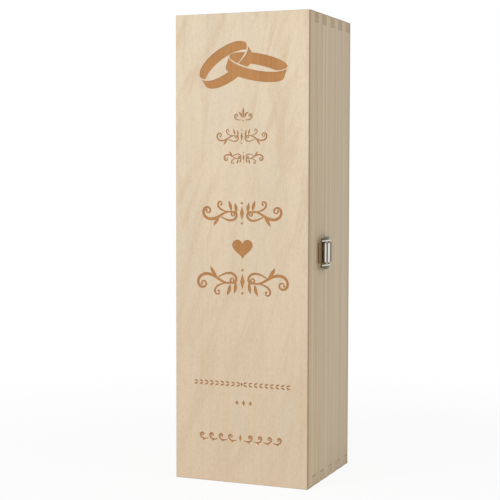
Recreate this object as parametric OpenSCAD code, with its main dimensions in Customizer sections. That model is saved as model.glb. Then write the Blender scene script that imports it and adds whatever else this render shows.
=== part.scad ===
// Tall wooden box for one bottle, with a front lid on two hinges and a toggle clasp.
// It stands on its bottom. +Z is up, -Y is the front of the lid, +X is the clasp's side.
// The origin is the middle of the underside.

/* [Box] */
// Outside width
box_width = 110; // [90:1:140]
// Outside depth, with the front and back panels
box_depth = 100; // [80:1:130]
// Outside height
box_height = 362; // [290:1:440]
// Thickness of the solid boards
board = 8; // [6:0.1:10]
// Thickness of the plywood panels
panel = 3; // [2:0.1:5]
// Depth of the lid, with its front panel
lid_depth = 30; // [22:0.5:40]
// Gap between the closed lid and the case
lid_gap = 0.3; // [0.2:0.05:0.6]
// Radius of the eased edges round each panel
edge_ease = 0.8; // [0.3:0.1:1.5]

/* [Finger joints] */
// Fingers and notches along each corner of the case, an odd number
case_fingers = 7; // [3:2:11]
// Fingers and notches along each corner of the lid, an odd number
lid_fingers = 3; // [3:2:5]
// Glue gap round each finger
glue_gap = 0.1; // [0.05:0.05:0.2]

/* [Hinges] */
// Length of each hinge
hinge_length = 25; // [20:1:35]
// Width of each leaf, from the middle of the pin
leaf_width = 12; // [11:0.5:14]
// Thickness of the leaves
leaf_thick = 0.9; // [0.7:0.1:1.1]
// Outer radius of the knuckles
knuckle_r = 1.6; // [1.4:0.1:2.2]
// Gap between neighbouring knuckles, and between knuckles and wood
knuckle_gap = 0.15; // [0.1:0.05:0.3]
// Radius of the leaves' outer corners
leaf_corner_r = 1.5; // [0.8:0.1:2.2]
// Distance from the pin's middle to where a leaf leaves its knuckles
leaf_start = 0.35; // [0.2:0.05:0.5]
// Radius of the hinge pins
hinge_pin_r = 0.8; // [0.6:0.05:1]
// Height of a hinge pin's heads
pin_head_h = 0.5; // [0.3:0.05:0.8]
// Rim of a pin's or rivet's head round its shaft
head_rim = 0.35; // [0.2:0.05:0.4]
// Distance from each end of the box to the middle of its hinge
hinge_inset = 60; // [30:1:100]
// Radial play of a pin in the part that turns on it
pin_play = 0.05; // [0.02:0.01:0.1]

/* [Fasteners] */
// Radius of a hinge screw's shank
screw_r = 0.9; // [0.7:0.05:1.1]
// Radius of a hinge screw's head
screw_head_r = 1.9; // [1.6:0.1:2.3]
// Distance between the two screws of a leaf
screw_pitch = 14; // [11:0.5:16]
// Distance from the hinge pin to the screws
screw_line = 7.4; // [6.5:0.1:8.5]
// Radius of a clasp nail's shank
nail_r = 0.65; // [0.5:0.05:0.8]
// Radius of a clasp nail's head
nail_head_r = 1.3; // [1:0.1:1.6]
// Height of a clasp nail's domed head
nail_head_h = 0.6; // [0.4:0.05:0.7]
// Wood left beyond the tip of a screw or nail
tip_cover = 1.5; // [1:0.1:3]
// Radial gap between a fastener and its hole
hole_fit = 0.02; // [0.01:0.01:0.05]

/* [Clasp] */
// Height of the middle of the clasp above the ground
clasp_height = 179; // [100:1:230]
// Width of the lever
lever_width = 14.9; // [12:0.1:18]
// Distance from the seam back to the lever's pivot
pivot_back = 1.9; // [1.7:0.1:3]
// Distance from the wood out to the lever's pivot
pivot_out = 2.4; // [2.3:0.1:3]
// Outer radius of the lever's rolled pivot
lever_roll_r = 1.25; // [1.1:0.05:1.4]
// Thickness of the lever's sheet
lever_thick = 0.7; // [0.5:0.05:0.9]
// Outer radius of the bulge behind the pivot
bulge_r = 2.9; // [2.6:0.1:3.2]
// Distance from the pivot to the lever's finger end
lever_reach = 10.8; // [9.8:0.1:13]
// Slope of the lever's back
lever_slope = 18; // [12:0.5:20]
// Height of the bulge's middle above the pivot
bulge_out = 0.4; // [0.2:0.1:0.6]
// Radius of the bead along the lever's finger end
bead_r = 0.56; // [0.45:0.01:0.65]
// Radius of the lever pin
lever_pin_r = 0.6; // [0.5:0.05:0.7]
// Distance from the pivot back to the loop pin
loop_pin_back = 7.5; // [6.5:0.1:8]
// Distance from the pivot out to the loop pin
loop_pin_out = 0.5; // [0.3:0.1:0.8]
// Radius of the loop pin
loop_pin_r = 0.55; // [0.45:0.05:0.6]
// Outer radius of the loop's rolled ends
loop_roll_r = 1.35; // [1.1:0.05:1.4]
// Thickness of the loop's sheet
loop_thick = 0.8; // [0.6:0.05:0.9]
// Length of the loop, from its pin to the front of its bar
loop_length = 18.9; // [17:0.1:21]
// Greatest width of the loop
loop_width = 25; // [24:0.5:27]
// Radius of the curved sides of the loop
loop_side_r = 25; // [23:1:50]
// Rise of the bowed arms above a straight line
loop_bow = 1; // [0.6:0.1:2.5]
// Width of the strip that joins the arms in front
loop_strip = 0.85; // [0.8:0.05:1.2]
// Radius of the loop's front corners
loop_corner_r = 1.5; // [0.8:0.1:2]
// Width of the bar that hooks over the keeper
bar_width = 16; // [13:0.5:17]
// Outer radius of the bend between the strip and the bar
bar_bend_r = 0.95; // [0.95:0.05:1.2]
// Length of the bar's downturned front
bar_length = 1.9; // [1.7:0.1:2.2]
// Height of the keeper's lip
lip_height = 1.5; // [1.2:0.1:1.8]
// Thickness of the keeper's sheet
keeper_thick = 0.6; // [0.5:0.05:0.7]
// Depth of the keeper's plate
keeper_depth = 6.9; // [6:0.1:7]
// Width of the keeper
keeper_width = 15.6; // [12:0.2:17]
// Gap between the keeper's lip and the bar, in front of the lip and over it
bar_gap = 0.22; // [0.15:0.01:0.3]
// Thickness of the clasp's base plate
base_thick = 0.8; // [0.6:0.05:0.9]
// Depth of the base plate
base_depth = 8.9; // [8:0.1:9.5]
// Distance from the pivot back to the base plate's nails
base_nail_back = 4.4; // [4:0.1:5.5]
// Distance from the keeper's lip back to its nails
keeper_nail_back = 4; // [3:0.1:4.5]
// Distance of a clasp nail above or below the clasp's middle
nail_spread = 4; // [3:0.1:5]
// Thickness of each ear
ear_thick = 0.7; // [0.5:0.05:0.9]
// Gap beside the ears
ear_gap = 0.2; // [0.15:0.05:0.3]
// Rim of an ear's round beyond the lever's roll
ear_rim = 0.1; // [0.05:0.05:0.2]
// Height of the lever pin's riveted heads
rivet_h = 0.4; // [0.3:0.05:0.5]
// Distance of the loop pin's ends inside the loop's widest width
loop_pin_inset = 0.3; // [0.2:0.05:0.5]
// Step from the loop's rolled ends down to its sheet
roll_step = 0.1; // [0.05:0.05:0.2]

/* [Hidden] */
$fn = 64;
// Overshoot of cutting solids
cut = 1;

// Places of the box
right_x = box_width / 2;
front_y = -box_depth / 2;
back_y = box_depth / 2;
seam_y = front_y + lid_depth;
lid_y0 = front_y + panel;
lid_y1 = seam_y - lid_gap / 2;
case_y0 = seam_y + lid_gap / 2;
case_y1 = back_y - panel;

// Places of the hinges
hinge_x = -right_x - knuckle_r - knuckle_gap;
wall_from_pin = knuckle_r + knuckle_gap;
leaf_notch = knuckle_r + 2 * knuckle_gap;
knuckle_step = hinge_length / 3;
upper_hinge_z = box_height - hinge_inset;
lower_hinge_z = hinge_inset;
screw_depth = board - tip_cover;
pin_head_r = hinge_pin_r + head_rim;

// Places of the clasp, as distance back from the seam and out from the wood
loop_pin_x = pivot_back + loop_pin_back;
loop_pin_y = pivot_out + loop_pin_out;
bar_front = loop_pin_x - loop_length;
lip_front = bar_front + loop_thick + bar_gap;
bar_bottom = lip_height + bar_gap;
bar_top = bar_bottom + bar_length;
ear_inner = lever_width / 2 + ear_gap;
ear_outer = ear_inner + ear_thick;
ear_r = lever_roll_r + ear_rim;
rivet_r = lever_pin_r + head_rim;
arm_inner = ear_outer + rivet_h + ear_gap;
base_nail_x = pivot_back + base_nail_back;
keeper_nail_x = lip_front + keeper_nail_back;
// Middle of the bulge, whose sheet just touches into the pivot's roll
bulge_x = pivot_back + lever_roll_r + bulge_r - lever_thick / 2;
bulge_y = pivot_out + bulge_out;
// Middle line of the bulge's sheet
bulge_line_r = bulge_r - lever_thick / 2;
// Directions in which the bulge passes into the lever's back and into the roll
back_angle = 90 - lever_slope;
roll_angle = 205;

// Straight stretches of each curved outline
sector_steps = 8;
bend_steps = 6;
bow_steps = 20;
side_steps = 12;
corner_steps = 5;

color_board = [0.80, 0.72, 0.60];
color_panel = [0.87, 0.80, 0.69];
color_metal = [0.74, 0.73, 0.70];
color_pin = [0.62, 0.61, 0.59];

// ---- Boards and panels ----

// Place of the edge between two fingers, counted from the front
function finger_y(y0, y1, count, i) = y0 + (y1 - y0) * i / count;

// One notch for each finger of the neighbouring board, as a bar through the corner
module finger_slots(y0, y1, count, first, size_x, size_z) {
  for (i = [first : 2 : count - 1]) {
    slot_y0 = finger_y(y0, y1, count, i) - (i == 0 ? cut : glue_gap / 2);
    slot_y1 = finger_y(y0, y1, count, i + 1) + (i == count - 1 ? cut : glue_gap / 2);
    translate([-size_x / 2, slot_y0, -size_z / 2])
      cube([size_x, slot_y1 - slot_y0, size_z]);
  }
}

// Upright board of the right side; its slots take the fingers of the end boards
module side_board(y0, y1, count, first) {
  slot = 2 * (board + glue_gap);
  difference() {
    translate([right_x - board, y0, 0]) cube([board, y1 - y0, box_height]);
    for (z = [0, box_height])
      translate([right_x, 0, z]) finger_slots(y0, y1, count, first, 2 * board + cut, slot);
  }
}

// Level board of an end, with its underside at z; its slots take the fingers of the sides
module end_board(y0, y1, count, first, z) {
  slot = 2 * (board + glue_gap);
  difference() {
    translate([-right_x, y0, z]) cube([box_width, y1 - y0, board]);
    for (x = [-right_x, right_x])
      translate([x, 0, z]) finger_slots(y0, y1, count, first, slot, 2 * board + cut);
  }
}

// Outline of a panel of the given length, with its two outer edges eased
module eased_edge_outline(length) {
  r = min(edge_ease, panel / 2);
  translate([-length / 2 + r, 0]) square([length - 2 * r, panel]);
  translate([-length / 2, r]) square([length, panel - r]);
  for (x = [-1, 1]) translate([x * (length / 2 - r), r]) circle(r);
}

// Plywood panel that faces -Y, with its outer face at y = 0
module eased_panel() {
  intersection() {
    linear_extrude(height = box_height) eased_edge_outline(box_width);
    translate([right_x + cut, 0, box_height / 2]) rotate([0, -90, 0])
      linear_extrude(height = box_width + 2 * cut) eased_edge_outline(box_height);
  }
}

// Holes for the screws of both hinges, on one side of the seam
module hinge_screw_holes(side) {
  for (z = [upper_hinge_z, lower_hinge_z])
    hinge_place(z) screw_places(side)
      translate([wall_from_pin - cut, 0, 0]) rotate([0, 90, 0])
        cylinder(r = screw_r + hole_fit, h = screw_depth + cut + hole_fit);
}

// Holes for the two nails of a clasp plate
module clasp_nail_holes(x) {
  clasp_place() nail_places(x)
    translate([0, -board + tip_cover - hole_fit, 0]) rotate([-90, 0, 0])
      cylinder(r = nail_r + hole_fit, h = board - tip_cover + hole_fit + cut);
}

module case_left_wall() {
  color(color_board) difference() {
    mirror([1, 0, 0]) side_board(case_y0, case_y1, case_fingers, 0);
    hinge_screw_holes(1);
  }
}

module case_right_wall() {
  color(color_board) difference() {
    side_board(case_y0, case_y1, case_fingers, 0);
    clasp_nail_holes(base_nail_x);
  }
}

module case_top_board() {
  color(color_board) end_board(case_y0, case_y1, case_fingers, 1, box_height - board);
}

module case_bottom_board() {
  color(color_board) end_board(case_y0, case_y1, case_fingers, 1, 0);
}

module case_back_panel() {
  color(color_panel) translate([0, back_y, 0]) mirror([0, 1, 0]) eased_panel();
}

module lid_left_rail() {
  color(color_board) difference() {
    mirror([1, 0, 0]) side_board(lid_y0, lid_y1, lid_fingers, 1);
    hinge_screw_holes(-1);
  }
}

module lid_right_rail() {
  color(color_board) difference() {
    side_board(lid_y0, lid_y1, lid_fingers, 1);
    clasp_nail_holes(keeper_nail_x);
  }
}

module lid_top_rail() {
  color(color_board) end_board(lid_y0, lid_y1, lid_fingers, 0, box_height - board);
}

module lid_bottom_rail() {
  color(color_board) end_board(lid_y0, lid_y1, lid_fingers, 0, 0);
}

module lid_front_panel() {
  color(color_panel) translate([0, front_y, 0]) eased_panel();
}

// ---- Hinges, drawn round the pin: +X is towards the wood, +Y is the case's side ----

module hinge_place(z) {
  translate([hinge_x, seam_y, z]) children();
}

// The two screws of the leaf on one side of the pin
module screw_places(side) {
  for (z = [-screw_pitch / 2, screw_pitch / 2]) translate([0, side * screw_line, z]) children();
}

// Outline of a leaf on the wood: across the seam, and along the hinge
module leaf_outline(first, count) {
  r = leaf_corner_r;
  difference() {
    union() {
      translate([leaf_start, -hinge_length / 2])
        square([leaf_width - leaf_start - r, hinge_length]);
      translate([leaf_width - 2 * r, -hinge_length / 2 + r]) square([2 * r, hinge_length - 2 * r]);
      for (z = [-1, 1]) translate([leaf_width - r, z * (hinge_length / 2 - r)]) circle(r);
    }
    // Room for the other leaf's knuckles
    for (i = [0 : 2]) {
      if ((i + first) % 2 == 1) {
        low = -hinge_length / 2 + i * knuckle_step;
        translate([0, low - (i == 0 ? cut : knuckle_gap / 2)])
          square([leaf_notch, knuckle_step + (i == 1 ? knuckle_gap : cut + knuckle_gap / 2)]);
      }
    }
  }
}

// A leaf with its knuckles; first is 0 where it has the outer pair and 1 where it has the middle
module hinge_leaf(first) {
  difference() {
    union() {
      translate([wall_from_pin - leaf_thick, 0, 0]) rotate([90, 0, 90])
        linear_extrude(height = leaf_thick) leaf_outline(first);
      for (i = [first : 2 : 2]) {
        low = -hinge_length / 2 + i * knuckle_step + (i == 0 ? 0 : knuckle_gap / 2);
        high = -hinge_length / 2 + (i + 1) * knuckle_step - (i == 2 ? 0 : knuckle_gap / 2);
        translate([0, 0, low]) cylinder(r = knuckle_r, h = high - low);
      }
    }
    translate([0, 0, -hinge_length / 2 - cut])
      cylinder(r = hinge_pin_r + pin_play, h = hinge_length + 2 * cut);
    screw_places(1) translate([wall_from_pin - leaf_thick, 0, 0]) rotate([0, 90, 0]) {
      cylinder(r1 = screw_head_r + hole_fit, r2 = screw_r + hole_fit, h = leaf_thick);
      cylinder(r = screw_r + hole_fit, h = leaf_thick + cut);
    }
  }
}

module hinge_screws(side) {
  for (z = [upper_hinge_z, lower_hinge_z])
    hinge_place(z) screw_places(side) translate([wall_from_pin - leaf_thick, 0, 0])
      rotate([0, 90, 0]) {
        cylinder(r1 = screw_head_r, r2 = screw_r, h = leaf_thick);
        cylinder(r = screw_r, h = leaf_thick + screw_depth - screw_r);
        translate([0, 0, leaf_thick + screw_depth - screw_r])
          cylinder(r1 = screw_r, r2 = screw_r / 4, h = screw_r);
      }
}

module hinge_pin() {
  half = hinge_length / 2 + hole_fit;
  translate([0, 0, -half]) cylinder(r = hinge_pin_r, h = 2 * half);
  for (end = [0, 1]) mirror([0, 0, end])
    translate([0, 0, half]) cylinder(r1 = pin_head_r, r2 = hinge_pin_r, h = pin_head_h);
}

module case_leaf(z) {
  color(color_metal) hinge_place(z) hinge_leaf(0);
}

module lid_leaf(z) {
  color(color_metal) hinge_place(z) mirror([0, 1, 0]) hinge_leaf(1);
}

module hinge_case_screws() {
  color(color_pin) hinge_screws(1);
}

module hinge_lid_screws() {
  color(color_pin) hinge_screws(-1);
}

// ---- Clasp, drawn with X back from the seam, Y out from the wood and Z along the seam ----

module clasp_place() {
  translate([right_x, seam_y, clasp_height]) mirror([1, -1, 0]) children();
}

// The two nails of a clasp plate, above and below the middle
module nail_places(x) {
  for (z = [-nail_spread, nail_spread]) translate([x, 0, z]) children();
}

// A profile pulled to the given width, half to each side of the middle
module widen(width) {
  translate([0, 0, -width / 2]) linear_extrude(height = width) children();
}

// The same at both sides, between two distances from the middle
module widen_sides(inner, outer) {
  for (side = [0, 1]) mirror([0, 0, side])
    translate([0, 0, inner]) linear_extrude(height = outer - inner) children();
}

module nails(x, seat) {
  dome_r = (pow(nail_head_r, 2) + pow(nail_head_h, 2)) / (2 * nail_head_h);
  nail_places(x) {
    translate([0, seat, 0]) rotate([-90, 0, 0]) rotate_extrude() intersection() {
      translate([0, nail_head_h - dome_r]) circle(dome_r);
      square([nail_head_r, nail_head_h]);
    }
    translate([0, -board + tip_cover, 0]) rotate([-90, 0, 0])
      cylinder(r = nail_r, h = board - tip_cover + seat);
  }
}

module nail_hole_cuts(x, depth) {
  nail_places(x) translate([0, -cut, 0]) rotate([-90, 0, 0])
    cylinder(r = nail_r + hole_fit, h = depth + 2 * cut);
}

module at_pivot() {
  translate([pivot_back, pivot_out]) children();
}

module at_loop_pin() {
  translate([loop_pin_x, loop_pin_y]) children();
}

module clasp_base_plate() {
  color(color_metal) clasp_place() difference() {
    union() {
      translate([pivot_back - ear_r, 0, -ear_inner]) cube([base_depth, base_thick, 2 * ear_inner]);
      widen_sides(ear_inner, ear_outer) {
        translate([pivot_back - ear_r, 0]) square([2 * ear_r, pivot_out]);
        at_pivot() circle(ear_r);
      }
    }
    widen(2 * ear_outer + cut) at_pivot() circle(lever_pin_r + hole_fit);
    nail_hole_cuts(base_nail_x, base_thick);
  }
}

module clasp_base_nails() {
  color(color_pin) clasp_place() nails(base_nail_x, base_thick);
}

module clasp_lever_pin() {
  color(color_pin) clasp_place() {
    widen(2 * ear_outer + 2 * rivet_h) at_pivot() circle(lever_pin_r);
    widen_sides(ear_outer + hole_fit, ear_outer + rivet_h) at_pivot() circle(rivet_r);
  }
}

// The keeper's plate with its front edge turned up into the lip
module keeper_profile() {
  r = keeper_thick;
  translate([lip_front + r, 0]) square([keeper_depth - r, keeper_thick]);
  translate([lip_front, r]) square([keeper_thick, lip_height - r - keeper_thick / 2]);
  translate([lip_front + r, r]) circle(r);
  translate([lip_front + keeper_thick / 2, lip_height - keeper_thick / 2])
    circle(keeper_thick / 2);
}

module clasp_keeper() {
  color(color_metal) clasp_place() difference() {
    widen(keeper_width) keeper_profile();
    nail_hole_cuts(keeper_nail_x, keeper_thick);
  }
}

module clasp_keeper_nails() {
  color(color_pin) clasp_place() nails(keeper_nail_x, keeper_thick);
}

// Ring with the given outer radius and sheet thickness
module ring(r, thick) {
  difference() {
    circle(r);
    circle(r - thick);
  }
}

// Part of the plane between two directions, out to the radius r
module sector(from, to, r) {
  polygon(concat([[0, 0]], arc_points([0, 0], r, from, to, sector_steps)));
}

// Side view of the lever: rolled pivot, round bulge, sloping back and beaded finger end
module lever_profile() {
  back_x = bulge_x + bulge_r * cos(back_angle);
  back_y0 = bulge_y + bulge_r * sin(back_angle);
  back_length = (pivot_back + lever_reach - back_x) / cos(lever_slope);
  at_pivot() circle(lever_roll_r);
  translate([bulge_x, bulge_y]) intersection() {
    ring(bulge_r, lever_thick);
    sector(back_angle - 1, roll_angle, 2 * bulge_r);
  }
  translate([back_x, back_y0]) rotate(-lever_slope) {
    translate([0, -lever_thick]) square([back_length, lever_thick]);
    translate([back_length, -lever_thick + bead_r]) circle(bead_r);
  }
}

// The lever's side flange, which carries the loop pin
module flange_profile() {
  top = bulge_y + bulge_line_r;
  end_x = loop_pin_x + loop_roll_r;
  drop = (end_x - bulge_x) * tan(lever_slope);
  translate([bulge_x, bulge_y]) intersection() {
    circle(bulge_line_r);
    translate([-bulge_r, -lever_thick]) square([bulge_r + 1, 2 * bulge_r]);
  }
  polygon([[bulge_x, loop_pin_y - loop_roll_r / 2], [loop_pin_x, loop_pin_y - loop_roll_r],
    [end_x, loop_pin_y], [end_x, top - drop], [bulge_x, top]]);
  at_loop_pin() circle(loop_roll_r);
}

module clasp_lever() {
  color(color_metal) clasp_place() difference() {
    union() {
      widen(lever_width) lever_profile();
      widen_sides(lever_width / 2 - lever_thick, lever_width / 2) flange_profile();
    }
    widen(lever_width + cut) at_pivot() circle(lever_pin_r + pin_play);
    widen(lever_width + cut) at_loop_pin() circle(loop_pin_r + hole_fit);
  }
}

module clasp_loop_pin() {
  color(color_pin) clasp_place() widen(loop_width - 2 * loop_pin_inset) at_loop_pin() circle(loop_pin_r);
}

// Side view of the loop: a bar bent down in front, a bowed strip, and rolls on the loop pin
module loop_profile() {
  // The strip's outer face lies this far off the line from its front to the pin
  rise = loop_roll_r - roll_step;
  front = [bar_front + rise, bar_top - rise];
  pin = [loop_pin_x, loop_pin_y];
  chord = norm(pin - front);
  tilt = atan2(pin[1] - front[1], pin[0] - front[0]);
  // Radius of the bow, and its middle, below the middle of the line
  bow_r = chord * chord / (8 * loop_bow) + loop_bow / 2;
  middle = (front + pin) / 2 - (bow_r - loop_bow) * [-sin(tilt), cos(tilt)];
  outer = bow_r + rise;
  // The bend touches the bow's outer face from inside
  reach = outer - bar_bend_r;
  start = acos((bar_front + bar_bend_r - middle[0]) / reach);
  end = 90 + tilt - asin(chord / 2 / bow_r);
  bend = middle + reach * [cos(start), sin(start)];
  polygon(concat(
    [[bar_front, bar_bottom]],
    arc_points(bend, bar_bend_r, 180, start, bend_steps),
    arc_points(middle, outer, start, end, bow_steps),
    arc_points(middle, outer - loop_thick, end, start, bow_steps),
    arc_points(bend, bar_bend_r - loop_thick, start, 180, bend_steps),
    [[bar_front + loop_thick, bar_bottom]]));
}

// Points along an arc
function arc_points(middle, r, from, to, steps) = [for (i = [0 : steps])
  let (a = from + (to - from) * i / steps) middle + r * [cos(a), sin(a)]];

// Half the loop's width at a distance back from its middle
function loop_half(x) = loop_width / 2 - loop_side_r + sqrt(pow(loop_side_r, 2) - x * x);

// The loop seen from its outer side: curved outer edges round an open window
module loop_outline() {
  middle = (bar_front + loop_pin_x) / 2;
  side_middle = [middle, loop_width / 2 - loop_side_r];
  // Each front corner runs on into the curved side without a kink
  corner_x = middle - bar_front - loop_corner_r;
  reach = loop_side_r - loop_corner_r;
  corner_end = 90 + asin(corner_x / reach);
  corner_middle = side_middle + reach * [cos(corner_end), sin(corner_end)];
  side_end = acos((loop_pin_x + loop_roll_r + cut - middle) / loop_side_r);
  corner = arc_points(corner_middle, loop_corner_r, 180, corner_end, corner_steps);
  side = arc_points(side_middle, loop_side_r, corner_end, side_end, side_steps);
  half = concat(corner, [for (i = [1 : side_steps]) side[i]]);
  difference() {
    polygon(concat(half, [for (i = [len(half) - 1 : -1 : 0]) [half[i][0], -half[i][1]]]));
    translate([bar_front + loop_strip, -arm_inner])
      square([2 * loop_length, 2 * arm_inner]);
  }
}

module clasp_loop() {
  tall = 4 * (bar_top + loop_bow);
  color(color_metal) clasp_place() difference() {
    union() {
      intersection() {
        widen(loop_width + cut) loop_profile();
        translate([0, tall / 2, 0]) rotate([90, 0, 0]) linear_extrude(height = tall) loop_outline();
        translate([bar_front - cut, bar_top - bar_length + loop_thick, -loop_width])
          cube([2 * loop_length, tall, 2 * loop_width]);
      }
      widen_sides(arm_inner, loop_half(loop_length / 2)) at_loop_pin() circle(loop_roll_r);
      widen(bar_width) intersection() {
        loop_profile();
        translate([bar_front - cut, bar_bottom - cut]) square([loop_strip + cut, tall]);
      }
    }
    widen(loop_width + cut) at_loop_pin() circle(loop_pin_r + pin_play);
  }
}

case_left_wall();
case_right_wall();
case_top_board();
case_bottom_board();
case_back_panel();
case_leaf(upper_hinge_z);  // upper_hinge_case_leaf
case_leaf(lower_hinge_z);  // lower_hinge_case_leaf
color(color_pin) hinge_place(upper_hinge_z) hinge_pin();  // upper_hinge_pin
color(color_pin) hinge_place(lower_hinge_z) hinge_pin();  // lower_hinge_pin
hinge_case_screws();
clasp_base_plate();
clasp_base_nails();
clasp_lever_pin();
lid_front_panel();
lid_left_rail();
lid_right_rail();
lid_top_rail();
lid_bottom_rail();
lid_leaf(upper_hinge_z);  // upper_hinge_lid_leaf
lid_leaf(lower_hinge_z);  // lower_hinge_lid_leaf
hinge_lid_screws();
clasp_keeper();
clasp_keeper_nails();
clasp_lever();
clasp_loop_pin();
clasp_loop();
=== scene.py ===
"""Tall wooden box for one bottle, with a burnt ornament on its lid and a nickel toggle clasp."""
import bpy
import cmath
import math
from mathutils import Matrix, Vector


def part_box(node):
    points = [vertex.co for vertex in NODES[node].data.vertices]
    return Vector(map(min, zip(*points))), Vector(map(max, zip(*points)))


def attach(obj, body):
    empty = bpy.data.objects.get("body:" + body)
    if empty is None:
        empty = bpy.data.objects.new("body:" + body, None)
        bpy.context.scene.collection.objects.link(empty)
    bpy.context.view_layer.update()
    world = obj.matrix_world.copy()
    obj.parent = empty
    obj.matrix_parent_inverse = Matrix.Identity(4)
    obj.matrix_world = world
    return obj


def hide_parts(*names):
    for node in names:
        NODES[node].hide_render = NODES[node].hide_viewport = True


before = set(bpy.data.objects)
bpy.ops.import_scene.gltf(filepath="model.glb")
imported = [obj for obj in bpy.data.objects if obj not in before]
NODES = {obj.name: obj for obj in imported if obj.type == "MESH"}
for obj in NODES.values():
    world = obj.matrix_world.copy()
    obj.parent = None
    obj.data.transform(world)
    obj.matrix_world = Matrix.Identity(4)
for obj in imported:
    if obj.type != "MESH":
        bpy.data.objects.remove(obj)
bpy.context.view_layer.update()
# The CAD's nodes come in selected
bpy.ops.object.select_all(action="DESELECT")

MM = 0.001
PANEL_LOW, PANEL_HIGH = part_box("lid_front_panel")
RIGHT_X = PANEL_HIGH.x
BOX_HEIGHT = PANEL_HIGH.z
FRONT_Y = PANEL_LOW.y
PANEL_THICK = PANEL_HIGH.y - PANEL_LOW.y
BACK_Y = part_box("case_back_panel")[1].y
BOARD_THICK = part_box("case_bottom_board")[1].z
# Vertices closer than this share a place
SAME_PLACE = 0.001 * MM

# ---------------------------------------------------------------- camera and lamps

# The camera's angles in degrees, its place in metres, and its lens in millimetres
CAMERA_AZIMUTH = 22.127
CAMERA_ELEVATION = 3.481
CAMERA_ROLL = 0.123
CAMERA_DISTANCE = 1.0364
CAMERA_RIGHT = -0.0117
CAMERA_UP = -0.0024
CAMERA_LENS = 92.95
SENSOR_WIDTH = 36.0
# The size, places and aims of the two lamps, in metres, and their powers in watts
LAMP_SIZE = 1.2
KEY_PLACE = (-0.75, -1.7, 1.35)
KEY_AIM = (0, 0, 0.2)
KEY_POWER = 24
SIDE_PLACE = (1.8, -0.5, 0.9)
SIDE_AIM = (0, 0, 0.18)
SIDE_POWER = 6


def make_camera():
    """Camera at the photograph's angle, aimed at the middle of the box's height."""
    azimuth = math.radians(CAMERA_AZIMUTH)
    elevation = math.radians(CAMERA_ELEVATION)
    back = Vector((math.sin(azimuth) * math.cos(elevation),
                   -math.cos(azimuth) * math.cos(elevation), math.sin(elevation)))
    right = Vector((0, 0, 1)).cross(back).normalized()
    up = back.cross(right)
    roll = Matrix.Rotation(math.radians(CAMERA_ROLL), 3, back)
    right, up = roll @ right, roll @ up
    bpy.ops.object.camera_add()
    camera = bpy.context.object
    camera.name = "photo_camera"
    place = Matrix((right, up, back)).transposed().to_4x4()
    place.translation = (Vector((0, 0, BOX_HEIGHT / 2)) + right * CAMERA_RIGHT
                         + up * CAMERA_UP + back * CAMERA_DISTANCE)
    camera.matrix_world = place
    camera.data.lens = CAMERA_LENS
    camera.data.sensor_width = SENSOR_WIDTH
    camera.data.clip_start = 0.01
    bpy.context.scene.camera = camera


def make_lamp(name, place, aim, power):
    """Soft square lamp that points at a place on the box."""
    bpy.ops.object.light_add(type="AREA", location=place)
    lamp = bpy.context.object
    lamp.name = name
    lamp.rotation_euler = (Vector(aim) - Vector(place)).to_track_quat("-Z", "Y").to_euler()
    lamp.data.shape = "SQUARE"
    lamp.data.size = LAMP_SIZE
    lamp.data.energy = power


# ---------------------------------------------------------------- shader maths

# A Mix node's sockets for colours: its factor, its two colours and its result
MIX_FACTOR, MIX_LOW, MIX_HIGH, MIX_RESULT = 0, 6, 7, 2


class Shade:
    """A socket of a material's nodes. Maths on it is written as an expression."""

    def __init__(self, tree, socket=None):
        self.tree = tree
        self.socket = socket

    def node(self, kind, settings=None, inputs=None, output=0):
        """Adds a node: its settings first, then the values or links of its sockets."""
        made = self.tree.nodes.new("ShaderNode" + kind)
        for name, value in (settings or {}).items():
            setattr(made, name, value)
        for name, value in (inputs or {}).items():
            if isinstance(value, Shade):
                self.tree.links.new(value.socket, made.inputs[name])
            else:
                made.inputs[name].default_value = value
        return Shade(self.tree, made.outputs[output])

    def maths(self, operation, *values):
        """Math node on the values, in their order."""
        return self.node("Math", {"operation": operation}, dict(enumerate(values)))

    def __add__(self, other):
        return self.maths("ADD", self, other)

    def __radd__(self, other):
        return self.maths("ADD", other, self)

    def __sub__(self, other):
        return self.maths("SUBTRACT", self, other)

    def __rsub__(self, other):
        return self.maths("SUBTRACT", other, self)

    def __mul__(self, other):
        return self.maths("MULTIPLY", self, other)

    def __rmul__(self, other):
        return self.maths("MULTIPLY", other, self)

    def __truediv__(self, other):
        return self.maths("DIVIDE", self, other)

    def __abs__(self):
        return self.maths("ABSOLUTE", self)

    def larger(self, other):
        """The larger of two values."""
        return self.maths("MAXIMUM", self, other)

    def ramp(self, low, high):
        """0 below low, 1 above high and a soft step between them."""
        return self.node("MapRange", {"interpolation_type": "SMOOTHSTEP"},
                         {"Value": self, "From Min": low, "From Max": high})

    def parts(self):
        """The x, y and z of these coordinates."""
        return [self.node("SeparateXYZ", {}, {0: self}, axis) for axis in range(3)]

    def stretched(self, scale, shift=(0, 0, 0)):
        """Coordinates scaled for a pattern that runs with the grain."""
        return self.node("Mapping", {}, {"Vector": self, "Scale": scale, "Location": shift})

    def leaning(self, degrees):
        """Coordinates turned about Y, for a pattern that leans on the front."""
        return self.node("Mapping", {}, {"Vector": self, "Rotation": (0, math.radians(degrees), 0)})

    def noise(self, detail=2.0, rough=0.5, distort=0.0):
        """Noise from 0 to 1 over these coordinates."""
        return self.node("TexNoise", {}, {"Vector": self, "Scale": 1.0, "Detail": detail,
                                          "Roughness": rough, "Distortion": distort})

    def mix(self, low, high):
        """Colour that is low where this mask is 0 and high where it is 1."""
        return self.node("Mix", {"data_type": "RGBA"},
                         {MIX_FACTOR: self, MIX_LOW: low, MIX_HIGH: high}, MIX_RESULT)

    def darken(self, colour, tint):
        """Colour multiplied by a tint where this mask is 1."""
        return self.node("Mix", {"data_type": "RGBA", "blend_type": "MULTIPLY"},
                         {MIX_FACTOR: self, MIX_LOW: colour, MIX_HIGH: tint}, MIX_RESULT)


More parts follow.
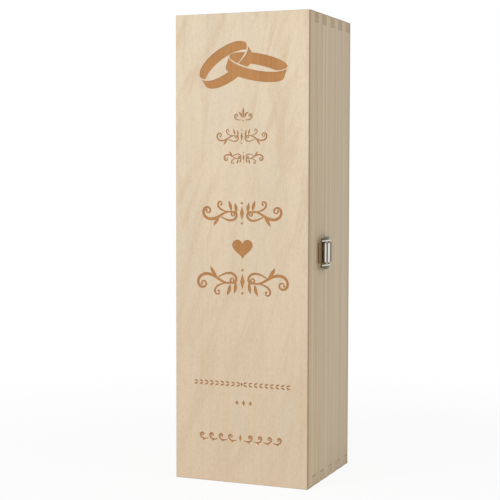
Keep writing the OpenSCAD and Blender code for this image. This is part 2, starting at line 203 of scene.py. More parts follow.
def tone(red, green, blue):
    """Screen colour from 0 to 255 as the linear colour that a shader takes."""
    shares = [value / 255 for value in (red, green, blue)]
    return (*[s / 12.92 if s <= 0.04045 else ((s + 0.055) / 1.055) ** 2.4 for s in shares], 1.0)


def tinted(colour, tint):
    """Plain colour multiplied by a tint."""
    return tuple(part * share for part, share in zip(colour, tint))


def new_material(name):
    """Material, its surface shader, and a Shade of every point's place on the box."""
    material = bpy.data.materials.new(name)
    material.use_nodes = True
    tree = material.node_tree
    place = Shade(tree).node("TexCoord", output="Object")
    return material, tree.nodes["Principled BSDF"], place


def finish_surface(surface, colour, roughness, height, depth):
    """Links a colour, a roughness and a pattern of bumps, depth metres deep, to the shader."""
    links = colour.tree.links
    links.new(colour.socket, surface.inputs["Base Color"])
    if isinstance(roughness, Shade):
        links.new(roughness.socket, surface.inputs["Roughness"])
    else:
        surface.inputs["Roughness"].default_value = roughness
    bump = height.node("Bump", {}, {"Height": height, "Strength": 1.0, "Distance": depth})
    links.new(bump.socket, surface.inputs["Normal"])


# ---------------------------------------------------------------- wood
# A pattern's scale is its count per metre, and masks run from 0 to 1.

# Cream face of the plywood with its tan and greyer streaks, and the layers of its edge
# The face is paler at the top than at its foot, partly painted light falling off downwards and
# partly the wood's own tone
PLY_LIT_TOP = tone(229, 211, 184)
PLY_SHADED_FOOT = tone(222, 201, 173)
PLY_TAN = tone(218, 196, 167)
PLY_GREY = tone(215, 202, 180)
PLY_EDGE = tone(185, 160, 128)
PLY_CORE = tone(159, 134, 102)
# Solid boards, from their palest to their darkest lines
BOARD_PALE = tone(224, 206, 178)
BOARD_WARM = tone(218, 197, 165)
BOARD_LINE = tone(203, 186, 160)
# The case's boards show those tones, and the lid's rails are cut from warmer boards
CASE_TINT = (1, 1, 1, 1)
LID_TINT = (0.975, 0.95, 0.90, 1)
# Tints of the streaks, fine grain, flecks, pores and end grain, and of the painted shade along the
# side's arrises and in the lower fingers' gaps
STREAK_TINT = (0.93, 0.90, 0.86, 1)
FIBRE_TINT = (0.90, 0.88, 0.85, 1)
FLECK_TINT = (0.91, 0.88, 0.83, 1)
PORE_TINT = (0.80, 0.74, 0.66, 1)
END_TINT = (0.82, 0.79, 0.78, 1)
END_TINT_WARM = (0.86, 0.78, 0.70, 1)
EDGE_SHADE_TINT = (0.50, 0.45, 0.38, 1)
# Roughness of the wood and what a pore adds to it, the depth of its grain, and its shine
PLY_ROUGH = 0.56
BOARD_ROUGH = 0.58
PORE_ROUGH = 0.2
PLY_RELIEF = 0.04 * MM
BOARD_RELIEF = 0.05 * MM
WOOD_SHINE = 0.3
# Burnt wood: the floor of a stroke, its darker lines, its walls, and the tint of its patches
BURNT_TONE = tone(191, 139, 88)
BURNT_DARK = tone(162, 111, 66)
SCORCH_TONE = tone(132, 88, 50)
BURNT_TINT = (0.88, 0.83, 0.78, 1)
BURNT_ROUGH = 0.8
BURNT_RELIEF = 0.06 * MM
BURNT_SHINE = 0.2
# Depth of the burnt ornament
BURN_DEPTH = 0.3 * MM


def along_grain(grain, across, along):
    """Scale of a pattern that is fine across the grain and long along it."""
    scale = [across] * 3
    scale["XYZ".index(grain)] = along
    return scale


def pores(place, grain, seed):
    """Short fine dashes along the grain: 1 in a pore and 0 in the wood between."""
    scale = along_grain(grain, 2600, 260)
    return place.stretched(scale, (seed, seed, seed)).noise(detail=1.0).ramp(0.66, 0.74)


def fine_grain(place, grain, seed):
    """Fine lines along the grain, from 0 to 1."""
    scale = along_grain(grain, 900, 9)
    return place.stretched(scale, (seed, seed, seed)).noise(detail=3.0, rough=0.65)


def flecks(place, grain, seed):
    """Small soft flecks a little longer than wide, from 0 to 1."""
    pattern = place.stretched(along_grain(grain, 1150, 330), (seed, seed, seed))
    return pattern.noise(detail=2.0, rough=0.6).ramp(0.42, 0.66)


def growth_bands(place, grain, seed, across, along):
    """Soft bands along the grain, from 0 to 1."""
    pattern = place.stretched(along_grain(grain, across, along), (seed, 2 * seed, 3 * seed))
    return pattern.noise(detail=3.0, rough=0.55, distort=0.3)


def detailed(colour, details):
    """Colour with fine details laid over it: each one's mask, its strength and its tint."""
    for mask, strength, tint in details:
        colour = (mask * strength).darken(colour, tint)
    return colour


def near_limit(place, limit, start, end):
    """0 until start millimetres short of a limit, on either side, and 1 from end short of it."""
    return abs(place).ramp(limit - start * MM, limit - end * MM)


def ply_material(name, outer_y, seed):
    """Birch plywood: flamed cream faces and a striped edge. outer_y is the outer face's place."""
    material, surface, place = new_material(name)
    x, y, z = place.parts()
    # Paler towards the top: partly painted light, partly the wood's tone
    colour = (z / BOX_HEIGHT).ramp(0.0, 1.0).mix(PLY_SHADED_FOOT, PLY_LIT_TOP)
    broad = place.leaning(4).stretched((26, 1, 3.5), (seed, 0, 3 * seed))
    broad = broad.noise(detail=3.0, rough=0.6, distort=0.6)
    colour = (broad.ramp(0.42, 0.62) * 0.45).mix(colour, PLY_GREY)
    flame = place.leaning(-17).stretched((75, 1, 13), (seed, 0, seed))
    flame = flame.noise(detail=4.0, rough=0.6, distort=0.9)
    colour = (flame.ramp(0.46, 0.64) * 0.85).mix(colour, PLY_TAN)
    cloud = place.leaning(8).stretched((52, 1, 9), (0, 0, 2 * seed))
    cloud = cloud.noise(detail=4.0, rough=0.6, distort=1.2)
    colour = (cloud.ramp(0.48, 0.66) * 0.55).mix(colour, PLY_TAN)
    lines = fine_grain(place, "Z", seed)
    pore = pores(place, "Z", seed)
    streaks = growth_bands(place, "Z", seed, 330, 12)
    colour = detailed(colour, ((streaks.ramp(0.48, 0.72), 0.35, STREAK_TINT),
                               (lines.ramp(0.40, 0.75), 0.35, FIBRE_TINT),
                               (flecks(place, "Z", seed), 0.6, FLECK_TINT),
                               (pore, 0.45, PORE_TINT)))
    edge_x = near_limit(x, RIGHT_X, 0.35, 0.25)
    edge_z = near_limit(z - BOX_HEIGHT / 2, BOX_HEIGHT / 2, 0.35, 0.25)
    edge = edge_x.larger(edge_z)
    depth = abs(y - outer_y) / PANEL_THICK
    core = depth.ramp(0.28, 0.34) * (1 - depth.ramp(0.66, 0.72))
    crumbs = place.stretched((1500, 700, 1500)).noise(detail=2.0).ramp(0.35, 0.65)
    layers = core.mix(PLY_EDGE, (crumbs * 0.5).mix(PLY_CORE, PLY_EDGE))
    colour = edge.mix(colour, layers)
    surface.inputs["Specular IOR Level"].default_value = WOOD_SHINE
    finish_surface(surface, colour, PLY_ROUGH + pore * PORE_ROUGH, lines * 0.6 - pore, PLY_RELIEF)
    return material


def board_material(name, grain, seed, tint):
    """Solid wood with straight grain along one axis, and end grain where the grain ends."""
    material, surface, place = new_material(name)
    x, _, z = place.parts()
    pale, warm, line = (tinted(colour, tint) for colour in (BOARD_PALE, BOARD_WARM, BOARD_LINE))
    colour = growth_bands(place, grain, seed, 90, 1.5).ramp(0.35, 0.65).mix(pale, warm)
    narrow = growth_bands(place, grain, seed + 7, 640, 2.5)
    colour = (narrow.ramp(0.46, 0.64) * 0.9).mix(colour, line)
    lines = fine_grain(place, grain, seed)
    pore = pores(place, grain, seed)
    colour = detailed(colour, ((lines.ramp(0.40, 0.70), 0.55, FIBRE_TINT),
                               (flecks(place, grain, seed), 0.3, FLECK_TINT),
                               (pore, 0.3, PORE_TINT)))
    up, half_height = z - BOX_HEIGHT / 2, BOX_HEIGHT / 2
    if grain == "Z":
        edge = near_limit(up, half_height, 0.4, 0.2)
    else:
        edge = near_limit(x, RIGHT_X, 0.4, 0.2)
    finger = place.stretched((60, 95, 60), (seed, seed, seed)).noise(detail=0.0)
    end_tint = finger.ramp(0.40, 0.60).mix(END_TINT, END_TINT_WARM)
    # The upper ends have taken up more oil, and show darker
    end = edge * (0.25 + (z / BOX_HEIGHT).ramp(0.4, 0.6) * 0.75)
    speck = place.stretched((1300, 1300, 1300)).noise(detail=2.0).ramp(0.4, 0.7)
    # Painted shade: a thin dark line along the side's top and bottom arrises
    arris_shade = near_limit(up, half_height, 0.9, 0.2)
    on_side = near_limit(x, RIGHT_X, 0.5, 0.1)
    colour = detailed(colour, ((end, 1.0, end_tint),
                               (end * speck, 0.5, PORE_TINT),
                               (arris_shade * on_side, 1.0, EDGE_SHADE_TINT)))
    if grain == "X":
        # Painted shade in the narrow gap along the top of most of the lower fingers
        gap_shade = 1 - abs(z - BOARD_THICK).ramp(0.4 * MM, 0.9 * MM)
        patchy = place.stretched((0, 160, 0), (0, seed, 0)).noise(detail=1.0).ramp(0.42, 0.5)
        colour = detailed(colour, ((gap_shade * on_side * patchy, 0.9, EDGE_SHADE_TINT),))
    surface.inputs["Specular IOR Level"].default_value = WOOD_SHINE
    finish_surface(surface, colour, BOARD_ROUGH + pore * PORE_ROUGH, lines * 0.6 - pore,
                   BOARD_RELIEF)
    return material


def burnt_material(name):
    """Wood burnt light brown, darker at the walls of each stroke, with the grain showing."""
    material, surface, place = new_material(name)
    lines = fine_grain(place, "Z", 5)
    cloud = place.stretched((90, 90, 60)).noise(detail=2.0)
    colour = (lines.ramp(0.3, 0.8) * 0.5).mix(BURNT_TONE, BURNT_DARK)
    colour = detailed(colour, ((cloud.ramp(0.4, 0.7), 0.45, BURNT_TINT),))
    depth = place.parts()[1] - FRONT_Y
    wall = 1 - depth.ramp(0.80 * BURN_DEPTH, 0.97 * BURN_DEPTH)
    colour = (wall * 0.4).mix(colour, SCORCH_TONE)
    surface.inputs["Specular IOR Level"].default_value = BURNT_SHINE
    finish_surface(surface, colour, BURNT_ROUGH, lines, BURNT_RELIEF)
    return material


# ---------------------------------------------------------------- metal

NICKEL = (0.66, 0.63, 0.57, 1)
HINGE_NICKEL = (0.54, 0.51, 0.46, 1)
# Painted shade: near-black nickel for the base plate and the pins, which lie in shade under the
# loop and lever
SHADE_DARK_NICKEL = (0.15, 0.13, 0.10, 1)
# Painted reflection: the keeper's nickel tinted the dark brown of the shaded wood it reflects
WOOD_REFLECTION_NICKEL = (0.42, 0.30, 0.20, 1)
STEEL = (0.60, 0.58, 0.54, 1)
# Painted shade: tint for the shade in the lever's groove, on the loop's arms and bend and in the
# screws' recesses, and for a dark reflection down the lever's back
PAINTED_DARK_TINT = (0.14, 0.12, 0.09, 1)
# Painted reflection: tint that gives the loop bar's front the brown of the wood it reflects
WOOD_REFLECTION_TINT = (0.72, 0.55, 0.40, 1)
CLOUD_TINT = (0.90, 0.88, 0.84, 1)
SCRATCH_RELIEF = 0.004 * MM

# Height of the clasp's middle, and the groove between its lever's pivot and its bulge
CLASP_Z = 179 * MM
GROOVE_X = 58.23 * MM
GROOVE_Y = -17.17 * MM
# Where the bulge's bright front ends and its back, painted dark for a dark reflection, begins
BULGE_BACK_Y = -15.6 * MM
# Inner edge of the loop's arms, from the clasp's middle, and the front and bend of its bar
ARM_INNER = 8.95 * MM
BAR_FRONT_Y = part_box("clasp_loop")[0].y
BAR_BEND_X = 57.6 * MM


def metal_finish(surface, place, colour, low_rough, high_rough, painted_dark=None):
    """Plated metal of a colour: fine scratches, and a faint unevenness in its shine.

    The last argument is 1 where painted shade and a painted dark reflection cover the plating,
    which is rougher and less metallic there.
    """
    cloud = place.stretched((300, 300, 300)).noise(detail=3.0)
    scratch = place.stretched((5000, 900, 160)).noise(detail=2.0)
    clouded = (cloud.ramp(0.35, 0.75) * 0.5).darken(colour, CLOUD_TINT)
    rough = low_rough + cloud * (high_rough - low_rough) + scratch * 0.05
    surface.inputs["Metallic"].default_value = 1.0
    if painted_dark is not None:
        rough = rough + painted_dark * 0.4
        place.tree.links.new((1 - painted_dark * 0.8).socket, surface.inputs["Metallic"])
    finish_surface(surface, clouded, rough, scratch, SCRATCH_RELIEF)


def plain_metal(name, colour, low_rough, high_rough):
    """Metal of one colour all over."""
    material, surface, place = new_material(name)
    metal_finish(surface, place, colour, low_rough, high_rough)
    return material


def lever_metal(name):
    """Nickel with painted shade in the groove behind the pivot and a painted dark reflection down
    the lever's back.
    """
    material, surface, place = new_material(name)
    x, y, _ = place.parts()
    off_x, off_y = (x - GROOVE_X) / MM, (y - GROOVE_Y) / MM
    # Painted shade in the groove, and a painted dark reflection on the back beyond the bulge
    groove = 1 - (off_x * off_x + off_y * off_y).ramp(0.5, 1.5)
    back = y.ramp(BULGE_BACK_Y, BULGE_BACK_Y + 0.8 * MM) * 0.9
    painted_dark = groove.larger(back)
    metal_finish(surface, place, painted_dark.darken(NICKEL, PAINTED_DARK_TINT), 0.24, 0.34, painted_dark)
    return material


def loop_metal(name):
    """Nickel that is bright inside the arms, with painted shade on the arms and in the bar's bend,
    and a painted reflection of the brown wood on the bar's front.
    """
    material, surface, place = new_material(name)
    x, y, z = place.parts()
    arm = abs(z - CLASP_Z).ramp(ARM_INNER + 0.6 * MM, ARM_INNER + 1.2 * MM)
    bar = (1 - y.ramp(BAR_FRONT_Y + 1.0 * MM, BAR_FRONT_Y + 1.2 * MM)) * (1 - arm)
    bend = bar * x.ramp(BAR_BEND_X - 0.1 * MM, BAR_BEND_X + 0.3 * MM)
    # Painted shade on the arms and in the bend, and a painted wood reflection on the bar's front
    colour = bar.darken(arm.darken(NICKEL, PAINTED_DARK_TINT), WOOD_REFLECTION_TINT)
    colour = (bend * 0.9).darken(colour, PAINTED_DARK_TINT)
    metal_finish(surface, place, colour, 0.12, 0.24)
    return material


def screw_metal(name):
    """Steel with painted shade at the bottom of the driver's recess."""
    material, surface, place = new_material(name)
    face_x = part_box("hinge_case_screws")[0].x
    recess = (place.parts()[0] - face_x).ramp(0.08 * MM, 0.45 * MM)
    metal_finish(surface, place, recess.darken(STEEL, PAINTED_DARK_TINT), 0.22, 0.36)
    return material


# ---------------------------------------------------------------- outlines of the burnt ornament
# A place on the front is a complex number: millimetres from its left edge, then up from its top.

def spot(x, down):
    """Place on the front, given as its distance down from the top edge."""
    return complex(x, -down)


def facing(degrees):
    """Step of length 1 in a direction."""
    return cmath.rect(1, math.radians(degrees))


def circle(middle, radius, count=16):
    """Outline of a round dot."""
    return [middle + radius * facing(360 * i / count) for i in range(count)]


def lozenge(middle, width, height):
    """Outline of a four-pointed diamond."""
    return [middle + corner for corner in (width / 2, 0.5j * height, -width / 2, -0.5j * height)]


def heart(middle, width, height, count=64):
    """Outline of a plain heart, from the usual sine and cosine formula."""
    points = []
    for i in range(count):
        t = 2 * math.pi * i / count
        x = math.sin(t) ** 3
        y = (13 * math.cos(t) - 5 * math.cos(2 * t) - 2 * math.cos(3 * t) - math.cos(4 * t)) / 16
        points.append(middle + complex(x * width / 2, (y + 0.13) * height / 1.82))
    return points[::-1]


def curl(start, heading, length, bends, count=40):
    """Path whose bend, in degrees per unit of length, runs evenly through the given values."""
    step = length / count
    path, point, turn = [start], start, heading
    for i in range(count):
        share = (i + 0.5) / count * (len(bends) - 1)
        k = min(int(share), len(bends) - 2)
        turn += step * (bends[k] + (bends[k + 1] - bends[k]) * (share - k))
        point += step * facing(turn)
        path.append(point)
    return path


def stroke(path, thin, thick, peak=0.5):
    """Outline of a pen stroke: thin at its ends, and thick at its peak, a share of its length."""
    left, right = [], []
    for i, point in enumerate(path):
        along = path[min(i + 1, len(path) - 1)] - path[max(i - 1, 0)]
        side = 1j * along / abs(along)
        share = i / (len(path) - 1)
        bell = math.sin(math.pi * share ** (math.log(0.5) / math.log(peak)))
        half = (thin + (thick - thin) * bell) / 2
        left.append(point + side * half)
        right.append(point - side * half)
    return left[::-1] + right


def sized(path, size):
    """Path drawn size times larger."""
    return [point * size for point in path]


def moved(outlines, place):
    """Outlines drawn about a place instead of about 0."""
    return [[point + place for point in outline] for outline in outlines]


def both_sides(outlines):
    """The outlines and their mirror images, left for right."""
    return outlines + [[complex(-p.real, p.imag) for p in outline][::-1] for outline in outlines]


def ring_arc(ring, start, end, lower, count=40):
    """Points on a ring's upper rim, or its lower rim, between two angles in degrees."""
    middle, long_r, short_r, tilt, drop = ring
    if lower:
        middle = middle + drop
    angles = [math.radians(start + (end - start) * i / count) for i in range(count + 1)]
    return [middle + facing(tilt) * complex(long_r * math.cos(a), short_r * math.sin(a))
            for a in angles]


def ring_drop(ring):
    """Length and heading of a ring's drop, as seen if its rims were circles of radius 1."""
    _, long_r, short_r, tilt, drop = ring
    level = drop / facing(tilt)
    share = complex(level.real / long_r, level.imag / short_r)
    return abs(share), math.degrees(cmath.phase(share))


def ring_rim(ring, count=40):
    """The near half of a ring's upper rim."""
    heading = ring_drop(ring)[1]
    return ring_arc(ring, heading - 90, heading + 90, False, count)


def ring_outside(ring):
    """Outline of a ring's outer face, below its near rim."""
    heading = ring_drop(ring)[1]
    return ring_rim(ring) + ring_arc(ring, heading + 90, heading - 90, True)


def ring_inside(ring):
    """Outline of a ring's inner face, seen over its near rim."""
    share, heading = ring_drop(ring)
    turn = math.degrees(math.acos(share / 2))
    upper = ring_arc(ring, heading + turn, heading + 360 - turn, False)
    return upper + ring_arc(ring, heading + 180 + turn, heading + 180 - turn, True)[1:-1]


# Middle, half length, half height, tilt and drop of each of the two linked rings
LEFT_RING = (spot(40.3, 36.0), 22.8, 9.3, 32.4, complex(4.4, -6.6))
RIGHT_RING = (spot(69.0, 37.5), 24.2, 6.1, -10.9, complex(-2.8, -8.2))
# The bare line along each near rim: its width at its ends and at its middle, the steps it
# is drawn in, and the steps of the left line that the right ring's band covers
RIM_LINE = (0.6, 1.25)
LEFT_STEPS = 160
RIGHT_STEPS = 80
COVERED_FROM = 78
COVERED_TO = 100


def flourish(middle, size, weight, upright):
    """Mirrored scrolls and leaves about a lozenge. size is about its half width."""
    # Each scroll's path, and its pen's thin width, thick width and peak at a weight of 1
    scrolls = [(curl(complex(0.11, -0.03), 34, 1.46, (-90, -230, 20, 220, 380, 700, 1350), 60),
                0.35, 1.0, 0.55),
               (curl(complex(0.545, -0.075), 207, 0.84, (40, -150, -430, -900, -1700), 44),
                0.3, 0.8, 0.5),
               (curl(complex(0.36, 0.04), 6, 0.52, (60, 160, 380, 950, 1800), 30),
                0.25, 0.7, 0.5)]
    leaves = [curl(complex(0.27, 0.05), 92, 0.25, (-170, -51), 12),
              curl(complex(0.15, 0.0), 100, 0.25, (-170, -51), 12),
              curl(complex(0.56, -0.10), -34, 0.25, (-190, -57), 12)]
    outlines = []
    for path, thin, thick, peak in scrolls:
        outlines.append(stroke(sized(path, size), thin * weight, thick * weight, peak))
        outlines.append(circle(path[-1] * size, 0.4 * weight))
    outlines += [stroke(sized(path, size), 0.1, 1.15 * weight) for path in leaves]
    outlines = both_sides(outlines)
    outlines.append(lozenge(0, 0.10 * size, 0.32 * size))
    for side in (-1, 1):
        outlines.append(circle(0.235j * side * size, 0.4 * weight))
    if not upright:
        outlines = [[point.conjugate() for point in outline][::-1] for outline in outlines]
    return moved(outlines, middle)


def palmette(middle, size, weight):
    """Three leaves that rise from a pair of curls."""
    path = curl(complex(0.16, -0.42), -10, 1.40, (40, 150, 420, 900), 36)
    outlines = [stroke(sized(path, size), 0.4 * weight, weight, 0.45)]
    path = curl(complex(0.07, -0.30), 62, 0.62, (90, -260), 12)
    outlines.append(stroke(sized(path, size), 0.1, 1.5 * weight))
    outlines = both_sides(outlines)
    path = curl(-0.28j, 90, 0.82, (0, 0), 12)
    outlines.append(stroke(sized(path, size), 0.1, 1.7 * weight))
    outlines.append(circle(-0.48j * size, 0.55 * weight))
    return moved(outlines, middle)


def laurel(middle, half_width, count):
    """Rows of paired leaves that point away from a lozenge on both sides."""
    step = half_width / count
    outlines = []
    for i in range(count):
        for side in (-1, 1):
            root = complex(step * (i + 0.3), 0.3 * side)
            path = curl(root, 38 * side, 0.8 * step, (-14 * side, 6 * side), 12)
            outlines.append(stroke(path, 0.1, 1.25, 0.45))
    outlines = both_sides(outlines)
    outlines.append(lozenge(0, 1.8, 3.4))
    return moved(outlines, middle)


def running_scroll(middle, half_width, count, weight):
    """Curls that run away from a lozenge on both sides."""
    step = (half_width - 3) / count
    outlines = []
    for i in range(count):
        start = complex(3 + step * i, -0.22 * step)
        path = [start + step * p for p in curl(0, -24, 2.1, (40, 90, 200, 400, 650))]
        outlines.append(stroke(path, 0.35 * weight, weight, 0.4))
        outlines.append(circle(path[-1], 0.42 * weight))
        root = start + step * complex(0.30, -0.09)
        path = [root + step * p for p in curl(0, -40, 0.34, (200, -200), 10)]
        outlines.append(stroke(path, 0.1, 0.8 * weight))
    outlines = both_sides(outlines)
    outlines.append(lozenge(0, 2.2, 5.2))
    return moved(outlines, middle)


def ornament_rows():
    """The outlines of the burnt ornament below the rings, row by row down the front."""
    return [
        palmette(spot(57, 77), 10, 0.95),
        flourish(spot(55.7, 94), 21, 1.15, True),
        flourish(spot(57.2, 110), 16.4, 1.05, False),
        flourish(spot(56, 152.5), 33, 2.2, True),
        [heart(spot(56.5, 180), 17, 15)],
        flourish(spot(56.5, 205), 38, 2.3, False),
        laurel(spot(56, 284.6), 40, 9),
        [lozenge(spot(57.7 + 5.6 * i, 299), 2.6, 4.6 - abs(i)) for i in (-1, 0, 1)],
        running_scroll(spot(55, 326.5), 35, 4, 1.1)]


# ---------------------------------------------------------------- carving

# How far the cutters stand out before the face, and how far from the panel's edges they stay
BURN_REACH = 1.0 * MM
ORNAMENT_MARGIN = 5 * MM
# How much the sharp edges are rounded off, and the degrees from which an edge is sharp
PLY_EASE = 0.25 * MM
BOARD_EASE = 0.25 * MM
LEAF_EASE = 0.12 * MM
SHARP_FROM = 50


def pick(piece):
    """Makes a piece the only one that the next operators act on."""
    bpy.ops.object.select_all(action="DESELECT")
    bpy.context.view_layer.objects.active = piece
    piece.select_set(True)


def copy_piece(name, source):
    """New piece with its own copy of another piece's mesh."""
    piece = bpy.data.objects.new(name, source.data.copy())
    bpy.context.scene.collection.objects.link(piece)
    pick(piece)
    return piece


def prism(outline):
    """Upright prism of an outline on the front, from before the face to the burn's depth."""
    bpy.ops.object.select_all(action="DESELECT")
    bpy.ops.mesh.primitive_circle_add(vertices=len(outline), radius=1, fill_type="NGON")
    piece = bpy.context.object
    for vertex, point in zip(piece.data.vertices, outline):
        vertex.co = (PANEL_LOW.x + point.real * MM, FRONT_Y + BURN_DEPTH,
                     BOX_HEIGHT + point.imag * MM)
    bpy.ops.object.mode_set(mode="EDIT")
    bpy.ops.mesh.select_all(action="SELECT")
    reach = (0, -BURN_DEPTH - BURN_REACH, 0)
    bpy.ops.mesh.extrude_region_move(TRANSFORM_OT_translate={"value": reach})
    bpy.ops.mesh.select_all(action="SELECT")
    bpy.ops.mesh.normals_make_consistent(inside=False)
    bpy.ops.object.mode_set(mode="OBJECT")
    return piece


def combine(piece, tool, operation):
    """Cuts a tool from a piece, or joins it to the piece, and removes the tool."""
    pick(piece)
    modifier = piece.modifiers.new("combine", "BOOLEAN")
    modifier.operation = operation
    modifier.solver = "MANIFOLD"
    modifier.object = tool
    bpy.ops.object.modifier_apply(modifier=modifier.name)
    bpy.data.objects.remove(tool)
    return piece


def stamp(outlines):
    """One cutting tool of several outlines."""
    tool = prism(outlines[0])
    for outline in outlines[1:]:
        tool = combine(tool, prism(outline), "UNION")
    return tool


def ring_stamp():
    """Cutting tool of two linked rings, with a bare line along each near rim."""
    faces = [make(ring) for ring in (LEFT_RING, RIGHT_RING) for make in (ring_outside, ring_inside)]
    tool = stamp(faces)
    left_line = ring_rim(LEFT_RING, LEFT_STEPS)
    right_line = ring_rim(RIGHT_RING, RIGHT_STEPS)
    for path in (left_line[:COVERED_FROM], left_line[COVERED_TO:], right_line):
        tool = combine(tool, prism(stroke(path, *RIM_LINE)), "DIFFERENCE")
    return tool


def merge_close(piece):
    """Merges the vertices of a piece that share a place."""
    pick(piece)
    bpy.ops.object.mode_set(mode="EDIT")
    bpy.ops.mesh.select_all(action="SELECT")
    bpy.ops.mesh.remove_doubles(threshold=SAME_PLACE)
    bpy.ops.object.mode_set(mode="OBJECT")


def ease_edges(piece, width):
    """Softly rounds a piece's sharp edges."""
    round_off = piece.modifiers.new("eased", "BEVEL")
    round_off.width = width
    round_off.segments = 2
    round_off.limit_method = "ANGLE"
    round_off.angle_limit = math.radians(SHARP_FROM)
    return round_off


def make_front_panel(face, burnt):
    """The lid's plywood panel with the ornament burnt into its face."""
    panel = copy_piece("burnt_front_panel", NODES["lid_front_panel"])
    merge_close(panel)
    bpy.ops.mesh.customdata_custom_splitnormals_clear()
    round_off = ease_edges(panel, PLY_EASE)
    bpy.ops.object.modifier_apply(modifier=round_off.name)
    panel.data.materials.clear()
    panel.data.materials.append(face)
    panel.data.materials.append(burnt)
    for tool in [ring_stamp()] + [stamp(row) for row in ornament_rows()]:
        panel = combine(panel, tool, "DIFFERENCE")
    merge_close(panel)
    for polygon in panel.data.polygons:
        middle = polygon.center
        inside_x = abs(middle.x) < RIGHT_X - ORNAMENT_MARGIN
        inside_z = ORNAMENT_MARGIN < middle.z < BOX_HEIGHT - ORNAMENT_MARGIN
        below_face = FRONT_Y + 0.01 * MM < middle.y < FRONT_Y + 2 * BURN_DEPTH
        polygon.material_index = 1 if inside_x and inside_z and below_face else 0
    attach(panel, "lid")
    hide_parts("lid_front_panel")


# ---------------------------------------------------------------- the hinges' screws

# Each screw's head, shank and tip, and how far apart a leaf's two screws sit
SCREW_HEAD_R = 1.9 * MM
SCREW_HEAD_H = 0.9 * MM
SCREW_SHANK_R = 0.9 * MM
SCREW_TIP = 0.3
SCREW_SIDES = 32
SCREW_PITCH = 14 * MM
# The cross recess in its head, and how much narrower it is at its bottom
CROSS_REACH = 1.3 * MM
CROSS_WIDTH = 0.48 * MM
CROSS_DEPTH = 0.65 * MM
CROSS_TAPER = (0.45, 0.6, 1)
# Degrees that the first screw of a body is turned, and what each later one adds
SCREW_TURN = {"case": 12, "lid": 55}
SCREW_TURN_STEP = 37
# Degrees below which the edge between two faces is smoothed
SMOOTH_BELOW = 35


def extrude_end(depth, size):
    """Draws the selected end of a round bar out along -Z, and scales it."""
    bpy.ops.mesh.extrude_region_move(TRANSFORM_OT_translate={"value": (0, 0, -depth)})
    bpy.ops.transform.resize(value=(size, size, 1))


def make_screw(length):
    """Countersunk screw that points down -Z, with its head's face at the origin."""
    bpy.ops.object.select_all(action="DESELECT")
    bpy.ops.mesh.primitive_circle_add(vertices=SCREW_SIDES, radius=SCREW_HEAD_R,
                                      fill_type="NGON")
    screw = bpy.context.object
    bpy.ops.object.mode_set(mode="EDIT")
    bpy.ops.mesh.select_all(action="SELECT")
    extrude_end(SCREW_HEAD_H, SCREW_SHANK_R / SCREW_HEAD_R)
    extrude_end(length - SCREW_HEAD_H - SCREW_SHANK_R, 1)
    extrude_end(SCREW_SHANK_R, SCREW_TIP)
    bpy.ops.mesh.select_all(action="SELECT")
    bpy.ops.mesh.normals_make_consistent(inside=False)
    bpy.ops.object.mode_set(mode="OBJECT")
    return combine(screw, cross_tool(), "DIFFERENCE")


def cross_tool():
    """Tapered cross that presses the driver's recess into a screw's head."""
    arms = []
    for turn in (0, 90):
        bpy.ops.object.select_all(action="DESELECT")
        bpy.ops.mesh.primitive_cube_add(size=1)
        arm = bpy.context.object
        bpy.ops.object.mode_set(mode="EDIT")
        bpy.ops.mesh.select_all(action="SELECT")
        bpy.ops.transform.resize(value=(2 * CROSS_REACH, CROSS_WIDTH, 2 * CROSS_DEPTH))
        bpy.ops.mesh.select_all(action="DESELECT")
        bpy.ops.object.mode_set(mode="OBJECT")
        for vertex in arm.data.vertices:
            vertex.select = vertex.co.z < 0
        bpy.ops.object.mode_set(mode="EDIT")
        bpy.ops.transform.resize(value=CROSS_TAPER)
        bpy.ops.object.mode_set(mode="OBJECT")
        arm.data.transform(Matrix.Rotation(math.radians(turn), 4, "Z"))
        arms.append(arm)
    return combine(arms[0], arms[1], "UNION")


def make_hinge_screws(body, finish):
    """The four screws that hold the leaves of a body, turned as their driver left them."""
    node = f"hinge_{body}_screws"
    low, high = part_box(node)
    middle_y = (low.y + high.y) / 2
    model = make_screw(high.x - low.x)
    model.data.materials.append(finish)
    lowest, highest = low.z + SCREW_HEAD_R, high.z - SCREW_HEAD_R
    heights = (lowest, lowest + SCREW_PITCH, highest - SCREW_PITCH, highest)
    inward = Matrix.Rotation(math.radians(-90), 4, "Y")
    for number, height in enumerate(heights):
        screw = copy_piece(f"{body}_hinge_screw_{number + 1}", model)
        angle = SCREW_TURN[body] + SCREW_TURN_STEP * number
        turned = Matrix.Rotation(math.radians(angle), 4, "Z")
        place = Matrix.Translation((low.x, middle_y, height))
        screw.data.transform(place @ inward @ turned)
        bpy.ops.object.shade_smooth_by_angle(angle=math.radians(SMOOTH_BELOW))
        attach(screw, body)
        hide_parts(node)
    bpy.data.objects.remove(model)


# ---------------------------------------------------------------- the carried-over pieces

def dress(name, material, ease=None):
    """Gives a CAD node its finish and, where ease is given, softly rounded arrises."""
    node = NODES[name]
    node.material_slots[0].material = material
    if ease is not None:
        weld = node.modifiers.new("weld", "WELD")
        weld.merge_threshold = SAME_PLACE
        round_off = ease_edges(node, ease)
        round_off.harden_normals = True
        # The short edges round a leaf's screw holes would hold its easing back to nothing
        round_off.use_clamp_overlap = not name.endswith("leaf")


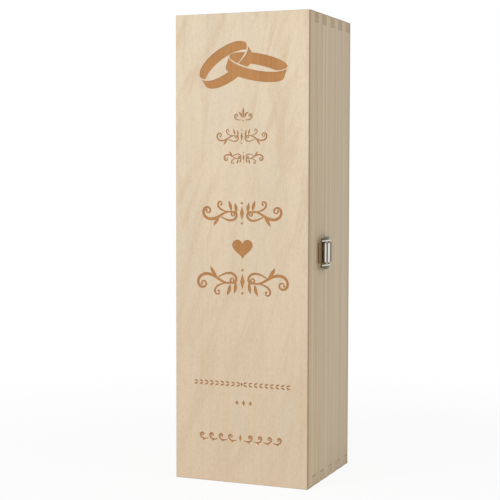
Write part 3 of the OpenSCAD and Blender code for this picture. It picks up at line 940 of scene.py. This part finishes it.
def dress_all():
    """Gives every CAD node its finish."""
    upright = board_material("upright_board", "Z", 1.0, CASE_TINT)
    upright_lid = board_material("upright_rail", "Z", 4.0, LID_TINT)
    level = board_material("level_board", "X", 2.0, CASE_TINT)
    level_lid = board_material("level_rail", "X", 5.0, LID_TINT)
    back_ply = ply_material("back_ply_finish", BACK_Y, 6.0)
    nickel = plain_metal("nickel_plate", HINGE_NICKEL, 0.2, 0.34)
    # Painted shade on the base plate and pins
    base = plain_metal("shade_dark_nickel", SHADE_DARK_NICKEL, 0.16, 0.3)
    # Painted reflection of the wood on the keeper
    keeper = plain_metal("wood_reflection_nickel", WOOD_REFLECTION_NICKEL, 0.14, 0.26)
    steel = plain_metal("bright_steel", STEEL, 0.2, 0.34)
    for name in ("case_left_wall", "case_right_wall"):
        dress(name, upright, BOARD_EASE)
    for name in ("lid_left_rail", "lid_right_rail"):
        dress(name, upright_lid, BOARD_EASE)
    for name in ("case_top_board", "case_bottom_board"):
        dress(name, level, BOARD_EASE)
    for name in ("lid_top_rail", "lid_bottom_rail"):
        dress(name, level_lid, BOARD_EASE)
    dress("case_back_panel", back_ply)
    for name in NODES:
        if name.endswith("leaf"):
            dress(name, nickel, LEAF_EASE)
        elif name.endswith(("pin", "nails", "screws")):
            dress(name, steel)
    for name in ("clasp_base_plate", "clasp_lever_pin", "clasp_loop_pin"):
        dress(name, base)
    dress("clasp_keeper", keeper)
    dress("clasp_lever", lever_metal("lever_nickel"))
    dress("clasp_loop", loop_metal("loop_nickel"))


# ---------------------------------------------------------------- the stage

# The floor's size in metres, its grey and its roughness
FLOOR_SIZE = 30
FLOOR_GREY = 0.9
FLOOR_ROUGH = 0.9
# How much of what the camera sees on the floor near the box is plain white, and the
# distances from the box's middle, in metres, between which the rest turns plain white
NEAR_WHITE = 0.90
WHITE_FROM = 0.15
WHITE_TO = 0.60
# Strength of the even light from all round
AMBIENT = 0.45


def seen_directly(build):
    """1 where the camera, a reflection or a clear piece looks, and 0 for the light itself."""
    camera, glossy, clear = (build.node("LightPath", output=name) for name in
                             ("Is Camera Ray", "Is Glossy Ray", "Is Transmission Ray"))
    return camera.larger(glossy.larger(clear))


def make_floor():
    """Wide white floor that keeps the soft shadow under the box."""
    bpy.ops.mesh.primitive_plane_add(size=FLOOR_SIZE, location=(0, 0, 0))
    floor = bpy.context.object
    floor.name = "floor"
    material, surface, place = new_material("white_floor")
    surface.inputs["Base Color"].default_value = (FLOOR_GREY, FLOOR_GREY, FLOOR_GREY, 1)
    surface.inputs["Roughness"].default_value = FLOOR_ROUGH
    surface.inputs["Specular IOR Level"].default_value = 0.0
    distance = place.node("VectorMath", {"operation": "LENGTH"}, {0: place}, "Value")
    far = distance.ramp(WHITE_FROM, WHITE_TO)
    share = seen_directly(place) * (NEAR_WHITE + far * (1 - NEAR_WHITE))
    white = place.node("Emission", {}, {"Color": (1, 1, 1, 1), "Strength": 1.0})
    paint = Shade(place.tree, surface.outputs[0])
    mixed = place.node("MixShader", {}, {0: share, 1: paint, 2: white})
    output = place.tree.nodes["Material Output"]
    place.tree.links.new(mixed.socket, output.inputs["Surface"])
    floor.data.materials.append(material)


def make_world():
    """Even studio light, and white where the camera or a reflection looks past the floor."""
    world = bpy.data.worlds.new("studio")
    bpy.context.scene.world = world
    world.use_nodes = True
    tree = world.node_tree
    background = tree.nodes["Background"]
    background.inputs["Color"].default_value = (1, 1, 1, 1)
    strength = AMBIENT + seen_directly(Shade(tree)) * (1 - AMBIENT)
    tree.links.new(strength.socket, background.inputs["Strength"])


# ---------------------------------------------------------------- the making

bpy.context.scene.view_settings.view_transform = "Standard"
make_camera()
make_world()
make_floor()
make_lamp("key_lamp", KEY_PLACE, KEY_AIM, KEY_POWER)
make_lamp("side_lamp", SIDE_PLACE, SIDE_AIM, SIDE_POWER)
make_front_panel(ply_material("front_ply_finish", FRONT_Y, 2.5), burnt_material("burnt_wood"))
dress_all()
screw_finish = screw_metal("screw_steel")
make_hinge_screws("case", screw_finish)
make_hinge_screws("lid", screw_finish)
